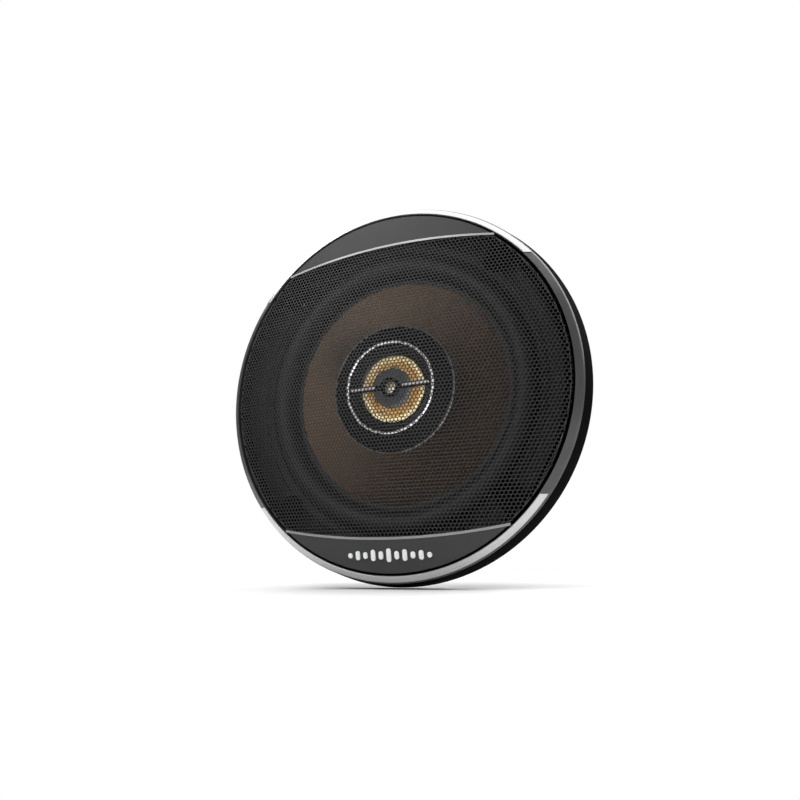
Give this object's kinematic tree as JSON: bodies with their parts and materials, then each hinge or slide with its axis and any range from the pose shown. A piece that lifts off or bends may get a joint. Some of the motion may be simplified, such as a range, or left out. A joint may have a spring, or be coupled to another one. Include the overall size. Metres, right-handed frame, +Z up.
{
  "type": "coaxial car speaker",
  "caption": "Round coaxial car speaker with a domed perforated grille, rubber-edged woven cone, central midrange and tweeter pod, pressed basket and ferrite motor.",
  "frame": {"origin": "centre of the mounting face, on the speaker's axis", "axes": "+Z up with the terminals at the bottom, +Y along the axis towards the rear, so the grille faces -Y, +X to the right seen from the front"},
  "size_m": [0.186, 0.0642, 0.186],
  "materials": {
    "wall_black": "fine-grained matt moulding",
    "ring_grey": "satin dark grey",
    "trim_silver": "satin silver",
    "panel_grey": "smooth satin moulding",
    "mesh_black": "black powder coat",
    "frame_black": "black powder coat",
    "gasket_foam": "closed-cell foam",
    "roll_rubber": "matt butyl rubber",
    "cone_bronze": "woven fibre with bronze tint",
    "spider_cloth": "resin-treated cotton",
    "former_film": "amber film",
    "copper": "enamelled copper wire",
    "felt": "black felt",
    "plated_steel": "zinc plate",
    "ferrite": "ground ceramic ferrite",
    "pod_black": "matt moulding",
    "pod_silver": "bright silver plate",
    "gold": "gold vapour coat",
    "terminal_grey": "fibre board",
    "tab_plate": "tin-plated brass",
    "capacitor_sleeve": "shrink sleeve"
  },
  "bodies": {
    "root": {"mounting_ring": "wall_black", "rear_gasket": "gasket_foam", "front_gasket": "gasket_foam", "basket": "frame_black", "surround": "roll_rubber", "spider": "spider_cloth", "tinsel_leads": "copper", "top_plate": "plated_steel", "ferrite_magnet": "ferrite", "pole_yoke": "plated_steel", "motor_rivets": "plated_steel", "pod_post": "pod_black", "post_spacer": "pod_black", "post_washer": "plated_steel", "post_nut": "plated_steel", "pod_housing": "pod_black", "pod_ring_inner": "pod_silver", "pod_ring_outer": "pod_silver", "mid_frame": "pod_black", "mid_surround": "felt", "mid_top_plate": "plated_steel", "mid_magnet": "ferrite", "mid_yoke": "plated_steel", "bridge_bar": "pod_black", "bar_inlays": "pod_silver", "tweeter_housing": "pod_black", "tweeter_surround": "felt", "tweeter_top_plate": "plated_steel", "tweeter_magnet": "ferrite", "tweeter_yoke": "plated_steel", "terminal_board": "terminal_grey", "positive_tab": "tab_plate", "negative_tab": "tab_plate", "board_rivet": "plated_steel", "midrange_capacitor": "capacitor_sleeve", "tweeter_capacitor": "capacitor_sleeve"},
    "woofer": {"woofer_cone": "cone_bronze", "coil_former": "former_film", "coil_winding": "copper", "dust_ring": "felt", "lead_patch": "pod_black"},
    "midrange": {"mid_cone": "gold", "mid_former": "former_film", "mid_winding": "copper"},
    "tweeter": {"tweeter_dome": "gold", "tweeter_coil": "copper"},
    "grille": {"grille_frame": "wall_black", "trim_ring": "ring_grey", "trim_top": "trim_silver", "trim_bottom": "trim_silver", "edge_strip_top": "trim_silver", "edge_strip_bottom": "trim_silver", "panel_top": "panel_grey", "panel_bottom": "panel_grey", "badge_bars": "trim_silver", "grille_mesh": "mesh_black", "mesh_retainer": "wall_black"}
  },
  "joints": [
    {"name": "woofer_excursion", "type": "slide", "parent": "root", "child": "woofer", "axis": [0, -1, 0], "range_m": [-0.004, 0.004], "stiffness_N_per_m": 1800, "deforming": ["surround", "spider", "tinsel_leads"]},
    {"name": "midrange_excursion", "type": "slide", "parent": "root", "child": "midrange", "axis": [0, -1, 0], "range_m": [-0.0005, 0.0005], "stiffness_N_per_m": 2500, "deforming": ["mid_surround"]},
    {"name": "tweeter_excursion", "type": "slide", "parent": "root", "child": "tweeter", "axis": [0, -1, 0], "range_m": [-0.00015, 0.00015], "stiffness_N_per_m": 4000, "deforming": ["tweeter_surround"]},
    {"name": "grille_removal", "type": "slide", "parent": "root", "child": "grille", "axis": [0, -1, 0], "range_m": [0, 0.05]}
  ]
}
